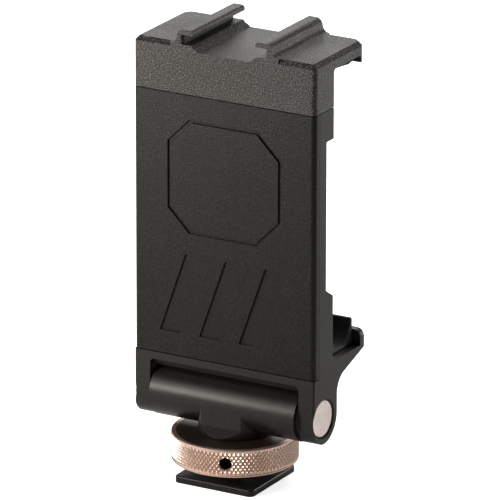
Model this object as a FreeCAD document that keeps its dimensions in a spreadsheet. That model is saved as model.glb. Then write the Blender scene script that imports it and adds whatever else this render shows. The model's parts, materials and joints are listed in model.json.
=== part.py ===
import FreeCAD, Part
import math
import os
import Sketcher

# Cold shoe phone mount, in millimetres. The origin is the centre of the foot's
# underside, +Z is up, and the covered back of the clamp faces -Y.
# A phone stands on the lower ledge and is held by the sprung upper jaw.

os.makedirs("parts", exist_ok=True)
doc = FreeCAD.newDocument("cold_shoe_phone_mount")

# Driving dimensions
DIMENSIONS = {
    # outline of the clamp
    "mount_width": 41.7,
    "front_reach": 4.6,
    "seat_reach": 3.0,
    "cover_bottom": 25.6,
    "seam_height": 81.3,
    "seam_gap": 0.15,
    "edge_round": 1.0,
    "ear_edge_round": 0.4,
    # upper jaw and its hook
    "jaw_block": 10.5,
    "arm_reach": 16.3,
    "arm_thickness": 2.7,
    "hook_thickness": 2.2,
    "hook_drop": 1.6,
    "hook_inner_round": 0.8,
    "jaw_rear_round": 2.5,
    "jaw_edge_chamfer": 0.9,
    # cold shoe on top of the jaw
    "slot_width": 18.9,
    "slot_opening": 14.3,
    "slot_height": 2.0,
    "slot_floor_drop": 0.2,
    "lip_thickness": 1.1,
    "rail_foot_width": 24.8,
    "rail_shoulder_width": 18.6,
    "lip_round": 0.7,
    "channel_width": 11.6,
    "channel_run": 1.7,
    "channel_depth": 1.5,
    "rail_end_round": 0.8,
    # front cover
    "cover_thickness": 2.0,
    "deboss_depth": 0.4,
    "deboss_line": 0.55,
    "panel_width": 26.0,
    "panel_height": 24.0,
    "panel_clip": 5.0,
    "panel_drop": 17.15,
    "bar_width": 5.4,
    "bar_slant": 6.0,
    "bar_height": 17.0,
    "bar_spacing": 9.2,
    "bar_rise": 13.4,
    # side relief for the phone's buttons
    "relief_depth": 2.9,
    "relief_rise": 16.0,
    "relief_drop": 6.45,
    "relief_slope": 2.5,
    "relief_width": 4.0,
    # lower ledge
    "ledge_inset": 0.2,
    "ledge_floor": 27.5,
    "ledge_lip": 1.6,
    "ledge_lip_rise": 3.2,
    "ledge_lip_end_round": 1.6,
    "ledge_edge_height": 26.8,
    "ledge_slope_reach": 7.2,
    "ledge_slope_height": 23.9,
    # hinge
    "pin_offset": 0.56,
    "pin_height": 16.4,
    "ear_radius": 5.45,
    "ear_thickness": 3.6,
    "ear_straight": 4.0,
    "ledge_root_round": 4.6,
    "window_top": 23.9,
    "window_corner": 1.0,
    "window_belly_drop": 1.7,
    "window_belly_half": 2.2,
    "window_belly_slope": 1.2,
    "barrel_radius": 5.35,
    "washer_thickness": 0.4,
    "washer_radius": 4.4,
    "washer_gap": 0.05,
    "bolt_diameter": 4.0,
    "bolt_clearance": 0.05,
    "bolt_grip": 12.0,
    "nut_tip_gap": 0.3,
    "bolt_head_diameter": 8.0,
    "bolt_head_thickness": 1.1,
    "bolt_head_recess": 0.25,
    "nut_barrel_diameter": 5.4,
    "head_clearance": 0.1,
    "head_seat_chamfer": 0.25,
    # neck below the barrel
    "neck_radius": 7.5,
    "neck_bottom": 10.5,
    "neck_flat_bottom": 12.3,
    "neck_slope": 4.0,
    # threaded post, wheel and foot
    "stud_diameter": 6.35,
    "stud_grip": 2.9,
    "wheel_diameter": 26.2,
    "wheel_thickness": 5.75,
    "wheel_bottom": 4.5,
    "ring_width": 1.1,
    "ring_chamfer": 0.45,
    "thread_clearance": 0.08,
    "tommy_hole_diameter": 2.7,
    "tommy_hole_angle": 21.0,
    "tommy_hole_depth": 4.5,
    "wheel_washer_thickness": 0.5,
    "wheel_washer_radius": 10.0,
    "wheel_washer_gap": 0.05,
    "foot_side": 18.3,
    "foot_thickness": 1.5,
    "foot_corner": 1.2,
    "foot_edge_chamfer": 0.25,
    "foot_screw_diameter": 3.0,
    "foot_screw_sink": 0.1,
    "foot_screw_clearance": 0.1,
    "foot_screw_head": 5.6,
    "foot_screw_length": 5.0,
    "foot_screw_head_height": 0.8,
    "foot_hex_width": 2.0,
    "foot_hex_depth": 0.5,
    # guide rods and springs inside the clamp
    "rod_diameter": 3.0,
    "rod_spacing": 19.0,
    "rod_offset": 0.1,
    "rod_grip": 6.0,
    "rod_fit": 0.05,
    "bushing_diameter": 4.4,
    "bushing_length": 6.0,
    "spring_wire": 0.5,
    "spring_clearance": 0.12,
    "spring_turns": 8.0,
    "rod_nut_diameter": 4.2,
    "rod_nut_height": 2.0,
    "channel_clearance": 0.2,
    "channel_spare": 2.0,
    "channel_rise": 5.65,
    # pads
    "pad_width": 38.0,
    "back_pad_thickness": 0.8,
    "back_pad_width": 31.0,
    "back_pad_rise": 8.5,
    "back_pad_drop": 2.15,
    "back_pad_corner": 1.5,
    "jaw_pad_thickness": 1.9,
    "jaw_pad_crest": 1.6,
    "jaw_pad_crest_width": 2.4,
    "jaw_pad_root": 0.7,
    "jaw_pad_slope": 2.0,
    "ledge_pad_root": 0.8,
    "ledge_pad_height": 5.7,
    "ledge_pad_tip": 0.8,
    "ledge_pad_run": 3.2,
    "ledge_pad_curve": 5.5,
    # screws that hold the front cover
    "cover_screw_diameter": 2.0,
    "cover_screw_head": 3.6,
    "cover_screw_head_height": 1.2,
    "cover_screw_bite": 1.2,
    "cover_screw_spacing": 28.0,
    "cover_screw_rise": 14.4,
    "cover_screw_drop": 4.65,
}

sheet = doc.addObject("Spreadsheet::Sheet", "sizes")
for row, (alias, number) in enumerate(DIMENSIONS.items(), start=1):
    sheet.set(f"A{row}", alias)
    sheet.set(f"B{row}", str(number))
    sheet.setAlias(f"B{row}", alias)
doc.recompute()


class Size:
    """A length with its value and the formula that binds it to the sheet."""

    def __init__(self, value, text):
        self.value = value
        self.text = text

    @staticmethod
    def of(other):
        return other if isinstance(other, Size) else Size(float(other), repr(float(other)))

    def __add__(self, other):
        other = Size.of(other)
        return Size(self.value + other.value, f"({self.text} + {other.text})")

    def __sub__(self, other):
        other = Size.of(other)
        return Size(self.value - other.value, f"({self.text} - {other.text})")

    def __mul__(self, other):
        other = Size.of(other)
        return Size(self.value * other.value, f"({self.text} * {other.text})")

    def __truediv__(self, other):
        other = Size.of(other)
        return Size(self.value / other.value, f"({self.text} / {other.text})")

    def __neg__(self):
        return Size(-self.value, f"(0 - {self.text})")

    def __radd__(self, other):
        return Size.of(other) + self

    def __rsub__(self, other):
        return Size.of(other) - self

    def root(self):
        return Size(math.sqrt(self.value), f"sqrt({self.text})")


class Sheet:
    """Gives every alias of the sheet as a Size."""

    def __getattr__(self, alias):
        return Size(float(sheet.get(alias)), f"sizes.{alias}")


S = Sheet()
ZERO = Size.of(0)
PLANES = {"XY": "XY_Plane", "XZ": "XZ_Plane", "YZ": "YZ_Plane"}
NODES = []
# how far a cut runs past the face that it opens
PAST = 1.0
AXIS_HALF = 5.0
COIL_STEPS = 10
WIRE_SIDES = 6


# Helpers for bodies, sketches and features

def new_body(name):
    body = doc.addObject("PartDesign::Body", name)
    body.Label = name
    NODES.append(body)
    return body


def bind(item, prop, size):
    item.setExpression(prop, Size.of(size).text)


def new_sketch(body, name, plane, offset):
    sketch = body.newObject("Sketcher::SketchObject", name)
    support = next(f for f in body.Origin.OriginFeatures if f.Role == PLANES[plane])
    sketch.AttachmentSupport = [(support, "")]
    sketch.MapMode = "FlatFace"
    bind(sketch, "AttachmentOffset.Base.z", offset)
    return sketch


def pin_point(sketch, index, end, point):
    """Ties one end of an edge to its distances from the sketch's origin."""
    for kind, size in zip(("DistanceX", "DistanceY"), point):
        number = sketch.addConstraint(Sketcher.Constraint(kind, -1, 1, index, end, size.value))
        if size.text != "0.0":
            sketch.setExpression(f"Constraints[{number}]", size.text)


def draw_loop(sketch, points):
    """Draws a closed outline. A point may carry the signed radius of the arc that ends there."""
    corners = [(Size.of(p[0]), Size.of(p[1])) for p in points]
    for i, point in enumerate(points):
        a, b = corners[i - 1], corners[i]
        start = FreeCAD.Vector(a[0].value, a[1].value, 0)
        end = FreeCAD.Vector(b[0].value, b[1].value, 0)
        if len(point) == 2:
            index = sketch.addGeometry(Part.LineSegment(start, end))
            pin_point(sketch, index, 2, b)
            continue
        radius = Size.of(point[2])
        chord = end - start
        side = FreeCAD.Vector(-chord.y, chord.x, 0).normalize()
        rise = math.sqrt(max(radius.value ** 2 - (chord.Length / 2) ** 2, 0))
        sign = 1 if radius.value > 0 else -1
        centre = (start + end) / 2 + side * (rise * sign)
        first, second = (start, end) if sign > 0 else (end, start)
        angles = [math.atan2(p.y - centre.y, p.x - centre.x) for p in (first, second)]
        circle = Part.Circle(centre, FreeCAD.Vector(0, 0, 1), abs(radius.value))
        index = sketch.addGeometry(Part.ArcOfCircle(circle, *angles))
        # an arc runs counter-clockwise, so one bulging to the left ends where it started
        last = 2 if sign > 0 else 1
        pin_point(sketch, index, last, b)
        size = radius if sign > 0 else -radius
        number = sketch.addConstraint(Sketcher.Constraint("Radius", index, abs(radius.value)))
        sketch.setExpression(f"Constraints[{number}]", size.text)
    join_ends(sketch, len(points))


def join_ends(sketch, count):
    """Makes neighbouring edges of the newest outline share their ends."""
    first = sketch.GeometryCount - count
    for i in range(count):
        one, two = first + i, first + (i + 1) % count
        best = None
        for e1 in (1, 2):
            for e2 in (1, 2):
                gap = sketch.getPoint(one, e1).distanceToPoint(sketch.getPoint(two, e2))
                if best is None or gap < best[0]:
                    best = (gap, e1, e2)
        sketch.addConstraint(Sketcher.Constraint("Coincident", one, best[1], two, best[2]))


def draw_circle(sketch, x, y, radius):
    x, y, radius = Size.of(x), Size.of(y), Size.of(radius)
    circle = Part.Circle(FreeCAD.Vector(x.value, y.value, 0), FreeCAD.Vector(0, 0, 1), radius.value)
    index = sketch.addGeometry(circle)
    pin_point(sketch, index, 3, (x, y))
    number = sketch.addConstraint(Sketcher.Constraint("Radius", index, radius.value))
    sketch.setExpression(f"Constraints[{number}]", radius.text)


def extrude(body, name, plane, start, end, loops=(), circles=(), cut=False):
    """Pads or pockets outlines between two places along the plane's own axis."""
    start, end = Size.of(start), Size.of(end)
    # the XZ plane's normal is -Y, and a pocket runs against its sketch's normal
    if plane == "XZ":
        offset = -start if cut else -end
    else:
        offset = end if cut else start
    sketch = new_sketch(body, name + "_sketch", plane, offset)
    for loop in loops:
        draw_loop(sketch, loop)
    for circle in circles:
        draw_circle(sketch, *circle)
    kind = "PartDesign::Pocket" if cut else "PartDesign::Pad"
    before = body.Shape.Volume if body.Tip else 0.0
    feature = body.newObject(kind, name)
    feature.Profile = sketch
    bind(feature, "Length", end - start)
    doc.recompute()
    after = body.Shape.Volume
    if (after >= before - 1e-6) if cut else (after <= before + 1e-6):
        raise RuntimeError(f"{name} changed nothing")


def box_loop(u0, u1, v0, v1):
    return [(u0, v0), (u1, v0), (u1, v1), (u0, v1)]


def edges_where(feature, test):
    """Names of the edges whose middle point and direction pass the test."""
    names = []
    for i, edge in enumerate(feature.Shape.Edges, start=1):
        middle = edge.valueAt((edge.FirstParameter + edge.LastParameter) / 2)
        along = edge.tangentAt((edge.FirstParameter + edge.LastParameter) / 2)
        if test(middle, along):
            names.append(f"Edge{i}")
    return names


def near(a, b, limit=0.02):
    return abs(a - Size.of(b).value) < limit


def round_edges(body, name, size, test, kind="PartDesign::Fillet"):
    base = body.Tip
    names = edges_where(base, test)
    if not names:
        raise RuntimeError(f"{name} found no edges")
    feature = body.newObject(kind, name)
    feature.Base = (base, names)
    bind(feature, "Radius" if kind.endswith("Fillet") else "Size", size)
    doc.recompute()


def upright(along):
    return abs(along.z) > 0.99


def along_x(along):
    return abs(along.x) > 0.99


def along_y(along):
    return abs(along.y) > 0.99


def revolve(name, offset, profile, axis_start, axis_end):
    """A body turned about a line of an XZ sketch."""
    body = new_body(name)
    sketch = new_sketch(body, name + "_sketch", "XZ", offset)
    draw_loop(sketch, profile)
    ends = [FreeCAD.Vector(Size.of(u).value, Size.of(v).value, 0) for u, v in (axis_start, axis_end)]
    axis = sketch.addGeometry(Part.LineSegment(*ends), True)
    for end, (u, v) in enumerate((axis_start, axis_end), start=1):
        pin_point(sketch, axis, end, (Size.of(u), Size.of(v)))
    feature = body.newObject("PartDesign::Revolution", name + "_turn")
    feature.Profile = sketch
    feature.ReferenceAxis = (sketch, ["Axis0"])
    feature.Angle = 360
    doc.recompute()
    return body


def from_pin(point):
    """Distance of a point from the hinge's axis."""
    return math.hypot(point.y - PIN_Y.value, point.z - PIN_Z.value)


def turned(name, profile, centre=(0, 0)):
    """A body of revolution about a vertical axis through centre."""
    x, y = Size.of(centre[0]), Size.of(centre[1])
    return revolve(name, -y, [(x + r, z) for r, z in profile], (x, -AXIS_HALF), (x, AXIS_HALF))


def turned_on_pin(name, profile):
    """A body of revolution about the hinge's axis, which runs along X."""
    outline = [(x, PIN_Z + r) for x, r in profile]
    return revolve(name, -PIN_Y, outline, (-AXIS_HALF, PIN_Z), (AXIS_HALF, PIN_Z))


# Places that several pieces share

HALF = S.mount_width / 2
FRONT = -S.front_reach
SEAT = S.seat_reach
COVER_BACK = FRONT + S.cover_thickness
JAW_TOP = S.seam_height + S.jaw_block
ARM_UNDER = JAW_TOP - S.arm_thickness
HOOK_INNER = S.arm_reach - S.hook_thickness
SLOT_HALF = S.slot_width / 2
OPENING_HALF = S.slot_opening / 2
SLOT_FLOOR = JAW_TOP - S.slot_floor_drop
LIP_UNDER = SLOT_FLOOR + S.slot_height
RAIL_TOP = LIP_UNDER + S.lip_thickness
RAIL_FOOT = S.rail_foot_width / 2
RAIL_SHOULDER = S.rail_shoulder_width / 2
BODY_TOP = S.seam_height - S.seam_gap
PIN_Y = -S.pin_offset
PIN_Z = S.pin_height
EAR_INNER = HALF - S.ear_thickness
ROD_Y = -S.rod_offset
ROD_X = S.rod_spacing / 2
ROD_R = S.rod_diameter / 2
BUSHING_BOTTOM = BODY_TOP - S.bushing_length
CHANNEL_BOTTOM = S.ledge_floor + S.channel_rise
SPRING_BOTTOM = CHANNEL_BOTTOM + S.channel_spare + S.rod_nut_height
CHANNEL_HALF = S.bushing_diameter / 2 + S.channel_clearance
SCREW_X = S.cover_screw_spacing / 2
SCREW_HEIGHTS = (S.cover_bottom + S.cover_screw_rise, BODY_TOP - S.cover_screw_drop)
STUD_R = S.stud_diameter / 2
WHEEL_R = S.wheel_diameter / 2
WHEEL_TOP = S.wheel_bottom + S.wheel_thickness
LEDGE_REACH = S.arm_reach - S.ledge_inset
LEDGE_LIP_INNER = LEDGE_REACH - S.ledge_lip
LEDGE_LIP_TOP = S.ledge_floor + S.ledge_lip_rise


# Upper jaw: the hook over the phone's top edge and the cold shoe on its back

def add_rail(jaw, name, side):
    """One rail of the shoe: an S-shaped flank, a flat top and a lip over the slot."""
    low = JAW_TOP - S.channel_depth
    run = RAIL_FOOT - RAIL_SHOULDER
    rise = RAIL_TOP - JAW_TOP
    flank = (run * run + rise * rise) / (rise * 4)
    middle_x = (RAIL_FOOT + RAIL_SHOULDER) / 2
    middle_z = (RAIL_TOP + JAW_TOP) / 2
    extrude(jaw, name, "XZ", FRONT, S.arm_reach, [[
        (RAIL_FOOT * side, low), (RAIL_FOOT * side, JAW_TOP),
        (middle_x * side, middle_z, flank * -side), (RAIL_SHOULDER * side, RAIL_TOP, flank * side),
        (OPENING_HALF * side, RAIL_TOP), (OPENING_HALF * side, low)]])


def make_upper_jaw():
    jaw = new_body("upper_jaw")
    hook = [(FRONT, S.seam_height), (SEAT, S.seam_height), (SEAT, ARM_UNDER), (HOOK_INNER, ARM_UNDER),
            (HOOK_INNER, ARM_UNDER - S.hook_drop), (S.arm_reach, ARM_UNDER - S.hook_drop),
            (S.arm_reach, JAW_TOP), (FRONT, JAW_TOP)]
    extrude(jaw, "hook", "YZ", -HALF, HALF, [hook])
    round_edges(jaw, "hook_inner_rounds", S.hook_inner_round,
                lambda m, t: along_x(t) and near(m.z, ARM_UNDER) and m.y < HOOK_INNER.value + 0.1)
    round_edges(jaw, "rear_corners", S.jaw_rear_round,
                lambda m, t: upright(t) and near(m.y, S.arm_reach))
    round_edges(jaw, "front_corners", S.edge_round,
                lambda m, t: upright(t) and near(m.y, FRONT))
    round_edges(jaw, "top_chamfer", S.jaw_edge_chamfer,
                lambda m, t: near(m.z, JAW_TOP), "PartDesign::Chamfer")
    add_rail(jaw, "rail_right", 1)
    add_rail(jaw, "rail_left", -1)
    round_edges(jaw, "lip_edges", S.lip_round,
                lambda m, t: along_y(t) and near(abs(m.x), OPENING_HALF) and near(m.z, RAIL_TOP))
    channel = S.channel_width / 2
    ledge = channel + S.channel_run
    floor = JAW_TOP - S.channel_depth
    extrude(jaw, "shoe_slot", "XZ", FRONT - PAST, S.arm_reach + PAST, [[
        (-SLOT_HALF, LIP_UNDER), (-SLOT_HALF, SLOT_FLOOR), (-ledge, SLOT_FLOOR), (-channel, floor),
        (channel, floor), (ledge, SLOT_FLOOR), (SLOT_HALF, SLOT_FLOOR), (SLOT_HALF, LIP_UNDER)]], cut=True)
    round_edges(jaw, "slot_end_rounds", S.rail_end_round,
                lambda m, t: upright(t) and near(abs(m.x), SLOT_HALF) and m.z > JAW_TOP.value)
    extrude(jaw, "rod_sockets", "XY", S.seam_height - PAST, S.seam_height + S.rod_grip,
            circles=[(x, ROD_Y, ROD_R) for x in (-ROD_X, ROD_X)], cut=True)


# Front cover with a plain sunk pattern: a clipped panel above three slanted bars

def clipped_panel(inset):
    w = S.panel_width / 2 - inset
    h = S.panel_height / 2 - inset
    c = S.panel_clip
    z = BODY_TOP - S.panel_drop
    return [(w, z + h - c), (w - c, z + h), (-w + c, z + h), (-w, z + h - c),
            (-w, z - h + c), (-w + c, z - h), (w - c, z - h), (w, z - h + c)]


def slanted_bar(number):
    x = S.bar_spacing * number
    w = S.bar_width / 2
    h = S.bar_height / 2
    s = S.bar_slant / 2
    z = S.cover_bottom + S.bar_rise
    return [(x - w - s, z - h), (x + w - s, z - h), (x + w + s, z + h), (x - w + s, z + h)]


def make_front_cover():
    cover = new_body("front_cover")
    extrude(cover, "plate", "XZ", FRONT, COVER_BACK, [box_loop(-HALF, HALF, S.cover_bottom, BODY_TOP)])
    round_edges(cover, "front_corners", S.edge_round,
                lambda m, t: upright(t) and near(m.y, FRONT))
    extrude(cover, "panel", "XZ", FRONT - PAST, FRONT + S.deboss_depth,
            [clipped_panel(ZERO)], cut=True)
    extrude(cover, "panel_field", "XZ", FRONT, FRONT + S.deboss_depth,
            [clipped_panel(S.deboss_line)])
    extrude(cover, "bars", "XZ", FRONT - PAST, FRONT + S.deboss_depth,
            [slanted_bar(n) for n in (-1, 0, 1)], cut=True)
    extrude(cover, "screw_holes", "XZ", COVER_BACK - S.cover_screw_bite, COVER_BACK + PAST,
            circles=[(x, z, S.cover_screw_diameter / 2) for x in (-SCREW_X, SCREW_X) for z in SCREW_HEIGHTS],
            cut=True)


# Clamp body: the milled frame with its ears, ledge, rod channels and side reliefs

def make_clamp_body():
    clamp = new_body("clamp_body")
    lower_top = S.cover_bottom - S.seam_gap
    front_foot = PIN_Z - (S.ear_radius * S.ear_radius - (PIN_Y - FRONT) * (PIN_Y - FRONT)).root()
    ear_back = PIN_Y + S.ear_radius
    side = [(FRONT, lower_top), (COVER_BACK, lower_top), (COVER_BACK, BODY_TOP), (SEAT, BODY_TOP),
            (SEAT, S.ledge_floor), (LEDGE_LIP_INNER, S.ledge_floor), (LEDGE_LIP_INNER, LEDGE_LIP_TOP),
            (LEDGE_REACH, LEDGE_LIP_TOP), (LEDGE_REACH, S.ledge_edge_height),
            (S.ledge_slope_reach, S.ledge_slope_height),
            (ear_back, PIN_Z + S.ear_straight, S.ledge_root_round),
            (ear_back, PIN_Z), (FRONT, front_foot, -S.ear_radius)]
    extrude(clamp, "side_form", "YZ", -HALF, HALF, [side])
    foot, back = PIN_Z - S.ear_radius - PAST, S.ledge_slope_reach + PAST
    belly, belly_foot = S.window_belly_half, S.window_belly_half + S.window_belly_slope
    belly_top = S.window_top - S.window_belly_drop
    extrude(clamp, "hinge_window", "YZ", -EAR_INNER, EAR_INNER, [[
        (FRONT - PAST, foot), (back, foot), (back, S.window_top), (PIN_Y + belly_foot, S.window_top),
        (PIN_Y + belly, belly_top), (PIN_Y - belly, belly_top), (PIN_Y - belly_foot, S.window_top),
        (FRONT - PAST, S.window_top)]], cut=True)
    round_edges(clamp, "window_corners", S.window_corner,
                lambda m, t: along_y(t) and near(abs(m.x), EAR_INNER) and near(m.z, S.window_top))
    low, high = S.ledge_floor + S.relief_rise, BODY_TOP - S.relief_drop
    relief = [(SEAT - S.relief_depth, low), (SEAT + PAST, low - S.relief_slope),
              (SEAT + PAST, high), (SEAT - S.relief_depth, high)]
    extrude(clamp, "relief_right", "YZ", HALF - S.relief_width, HALF + PAST, [relief], cut=True)
    extrude(clamp, "relief_left", "YZ", -HALF - PAST, -HALF + S.relief_width, [relief], cut=True)
    extrude(clamp, "rod_channels", "XZ", COVER_BACK - PAST, ROD_Y + CHANNEL_HALF,
            [box_loop(x - CHANNEL_HALF, x + CHANNEL_HALF, CHANNEL_BOTTOM, BUSHING_BOTTOM)
             for x in (-ROD_X, ROD_X)], cut=True)
    extrude(clamp, "bushing_bores", "XY", BUSHING_BOTTOM - PAST, BODY_TOP + PAST,
            circles=[(x, ROD_Y, S.bushing_diameter / 2) for x in (-ROD_X, ROD_X)], cut=True)
    extrude(clamp, "screw_holes", "XZ", COVER_BACK - PAST, SEAT + PAST,
            circles=[(x, z, S.cover_screw_diameter / 2) for x in (-SCREW_X, SCREW_X) for z in SCREW_HEIGHTS],
            cut=True)
    extrude(clamp, "screw_seats", "XZ", SEAT - S.cover_screw_head_height, SEAT + PAST,
            circles=[(x, z, S.cover_screw_head / 2) for x in (-SCREW_X, SCREW_X) for z in SCREW_HEIGHTS],
            cut=True)
    head_seat = S.bolt_head_thickness + S.bolt_head_recess
    extrude(clamp, "pin_bore", "YZ", -HALF - PAST, HALF + PAST,
            circles=[(PIN_Y, PIN_Z, S.nut_barrel_diameter / 2)], cut=True)
    for name, start, end in (("right", HALF - head_seat, HALF + PAST),
                             ("left", -HALF - PAST, -HALF + head_seat)):
        extrude(clamp, f"head_seat_{name}", "YZ", start, end,
                circles=[(PIN_Y, PIN_Z, S.bolt_head_diameter / 2 + S.head_clearance)], cut=True)
    bore = S.bolt_head_diameter / 2 + S.head_clearance
    round_edges(clamp, "head_seat_chamfers", S.head_seat_chamfer,
                lambda m, t: near(abs(m.x), HALF) and near(from_pin(m), bore), "PartDesign::Chamfer")
    round_edges(clamp, "lip_ends", S.ledge_lip_end_round,
                lambda m, t: along_y(t) and near(abs(m.x), HALF) and near(m.z, LEDGE_LIP_TOP))
    round_edges(clamp, "front_edges", S.ear_edge_round,
                lambda m, t: upright(t) and near(m.y, FRONT) and near(abs(m.x), HALF))


# Hinge: the barrel with its neck, and the sleeve nut and bolt that carry it in the ears

def make_hinge_barrel():
    barrel = new_body("hinge_barrel")
    end = EAR_INNER - S.washer_thickness - S.washer_gap
    top = PIN_Z + PAST
    extrude(barrel, "neck", "XY", S.neck_bottom, PIN_Z, circles=[(ZERO, ZERO, S.neck_radius)])
    for name, way in (("neck_front", -1), ("neck_back", 1)):
        flat = PIN_Y + S.barrel_radius * way
        far = flat + S.neck_slope * way
        foot = S.neck_flat_bottom - S.neck_slope
        extrude(barrel, name, "YZ", -S.neck_radius - PAST, S.neck_radius + PAST, [[
            (flat, top), (flat, S.neck_flat_bottom), (far, foot), (far, top)]], cut=True)
    extrude(barrel, "barrel", "YZ", -end, end, circles=[(PIN_Y, PIN_Z, S.barrel_radius)])
    extrude(barrel, "sleeve_bore", "YZ", -end - PAST, end + PAST,
            circles=[(PIN_Y, PIN_Z, S.nut_barrel_diameter / 2 + S.bolt_clearance)], cut=True)
    extrude(barrel, "stud_socket", "XY", S.neck_bottom - PAST, S.neck_bottom + S.stud_grip,
            circles=[(ZERO, ZERO, STUD_R)], cut=True)


def make_hinge_fasteners():
    sleeve = S.nut_barrel_diameter / 2
    shank = S.bolt_diameter / 2
    head = S.bolt_head_diameter / 2
    face = HALF - S.bolt_head_recess
    seat = face - S.bolt_head_thickness
    tip = seat - S.nut_tip_gap
    start = tip - S.bolt_grip
    turned_on_pin("hinge_nut", [
        (-face, ZERO), (-face, head), (-seat, head), (-seat, sleeve), (tip, sleeve), (tip, shank),
        (start, shank), (start, ZERO)])
    turned_on_pin("hinge_bolt", [
        (face, ZERO), (face, head), (seat, head), (seat, shank), (start, shank), (start, ZERO)])
    inner = sleeve + S.bolt_clearance
    for name, way in (("friction_washer_right", 1), ("friction_washer_left", -1)):
        near_end = (EAR_INNER - S.washer_thickness) * way
        far_end = EAR_INNER * way
        turned_on_pin(name, [(near_end, inner), (far_end, inner), (far_end, S.washer_radius),
                             (near_end, S.washer_radius)])


# Foot: the threaded stud, its locking wheel and the square shoe foot

def make_foot_group():
    shank = S.foot_screw_diameter / 2
    screw_top = S.foot_screw_sink + S.foot_screw_head_height + S.foot_screw_length
    stud_top = S.neck_bottom + S.stud_grip
    turned("foot_stud", [(shank, S.foot_thickness), (STUD_R, S.foot_thickness), (STUD_R, stud_top),
                         (ZERO, stud_top), (ZERO, screw_top), (shank, screw_top)])
    foot = new_body("shoe_foot")
    side = S.foot_side / 2
    extrude(foot, "plate", "XY", ZERO, S.foot_thickness, [box_loop(-side, side, -side, side)])
    round_edges(foot, "corners", S.foot_corner, lambda m, t: upright(t))
    round_edges(foot, "top_chamfer", S.foot_edge_chamfer,
                lambda m, t: near(m.z, S.foot_thickness), "PartDesign::Chamfer")
    seat = S.foot_screw_sink + S.foot_screw_head_height
    extrude(foot, "screw_hole", "XY", -PAST, S.foot_thickness + PAST, circles=[(ZERO, ZERO, shank)], cut=True)
    extrude(foot, "screw_seat", "XY", -PAST, seat,
            circles=[(ZERO, ZERO, S.foot_screw_head / 2 + S.foot_screw_clearance)], cut=True)
    head = S.foot_screw_head / 2
    screw = turned("foot_screw", [(ZERO, S.foot_screw_sink), (head, S.foot_screw_sink), (head, seat),
                                  (shank, seat), (shank, screw_top), (ZERO, screw_top)])
    flat = S.foot_hex_width / 2
    corner = flat * 2 / Size.of(3).root()
    extrude(screw, "hex_socket", "XY", S.foot_screw_sink - PAST, S.foot_screw_sink + S.foot_hex_depth, [[
        (corner, ZERO), (corner / 2, flat), (-corner / 2, flat), (-corner, ZERO),
        (-corner / 2, -flat), (corner / 2, -flat)]], cut=True)


def drill_tommy_hole(body, name, turn):
    """A blind hole across the wheel's rim, turned from -Y towards +X."""
    sketch = new_sketch(body, name + "_sketch", "XZ", ZERO)
    draw_circle(sketch, ZERO, S.wheel_bottom + S.wheel_thickness / 2, S.tommy_hole_diameter / 2)
    angle = S.tommy_hole_angle + turn
    sketch.AttachmentOffset = FreeCAD.Placement(
        FreeCAD.Vector(0, 0, 0), FreeCAD.Rotation(FreeCAD.Vector(0, 1, 0), angle.value))
    reach = WHEEL_R - S.tommy_hole_depth
    bind(sketch, "AttachmentOffset.Base.x", reach * Size(math.sin(math.radians(angle.value)),
                                                         f"sin({angle.text} * 1 deg)"))
    bind(sketch, "AttachmentOffset.Base.z", reach * Size(math.cos(math.radians(angle.value)),
                                                         f"cos({angle.text} * 1 deg)"))
    bind(sketch, "AttachmentOffset.Rotation.Angle", angle)
    before = body.Shape.Volume
    pocket = body.newObject("PartDesign::Pocket", name)
    pocket.Profile = sketch
    pocket.Reversed = True
    bind(pocket, "Length", S.tommy_hole_depth + PAST)
    doc.recompute()
    if body.Shape.Volume >= before - 1e-6:
        raise RuntimeError(f"{name} cut nothing")


def make_wheel():
    bore = STUD_R + S.thread_clearance
    ring_inner = WHEEL_R - S.ring_width
    chamfer = S.ring_chamfer
    hub = turned("wheel_hub", [(bore, S.wheel_bottom), (ring_inner, S.wheel_bottom),
                               (ring_inner, WHEEL_TOP), (bore, WHEEL_TOP)])
    ring = turned("knurled_ring", [
        (ring_inner, S.wheel_bottom), (WHEEL_R - chamfer, S.wheel_bottom),
        (WHEEL_R, S.wheel_bottom + chamfer), (WHEEL_R, WHEEL_TOP - chamfer),
        (WHEEL_R - chamfer, WHEEL_TOP), (ring_inner, WHEEL_TOP)])
    for body, prefix in ((hub, "hub"), (ring, "ring")):
        drill_tommy_hole(body, prefix + "_hole_front", 0)
        drill_tommy_hole(body, prefix + "_hole_back", 180)
    washer_top = S.wheel_bottom - S.wheel_washer_gap
    turned("wheel_washer", [(bore, washer_top - S.wheel_washer_thickness),
                            (S.wheel_washer_radius, washer_top - S.wheel_washer_thickness),
                            (S.wheel_washer_radius, washer_top), (bore, washer_top)])


# Sprung guide: two rods fixed in the jaw run in bushings, each pulled down by a spring

def make_guide(name, x):
    nut_bottom = SPRING_BOTTOM - S.rod_nut_height
    centre = (x, ROD_Y)
    rod_top = S.seam_height + S.rod_grip
    turned("guide_rod_" + name, [(ZERO, nut_bottom), (ROD_R, nut_bottom), (ROD_R, rod_top),
                                 (ZERO, rod_top)], centre)
    turned("rod_nut_" + name, [(ROD_R, nut_bottom), (S.rod_nut_diameter / 2, nut_bottom),
                               (S.rod_nut_diameter / 2, SPRING_BOTTOM - S.spring_clearance),
                               (ROD_R, SPRING_BOTTOM - S.spring_clearance)], centre)
    inner = ROD_R + S.rod_fit
    turned("bushing_" + name, [(inner, BUSHING_BOTTOM), (S.bushing_diameter / 2, BUSHING_BOTTOM),
                               (S.bushing_diameter / 2, BODY_TOP), (inner, BODY_TOP)], centre)
    make_spring("spring_" + name, centre)


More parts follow.
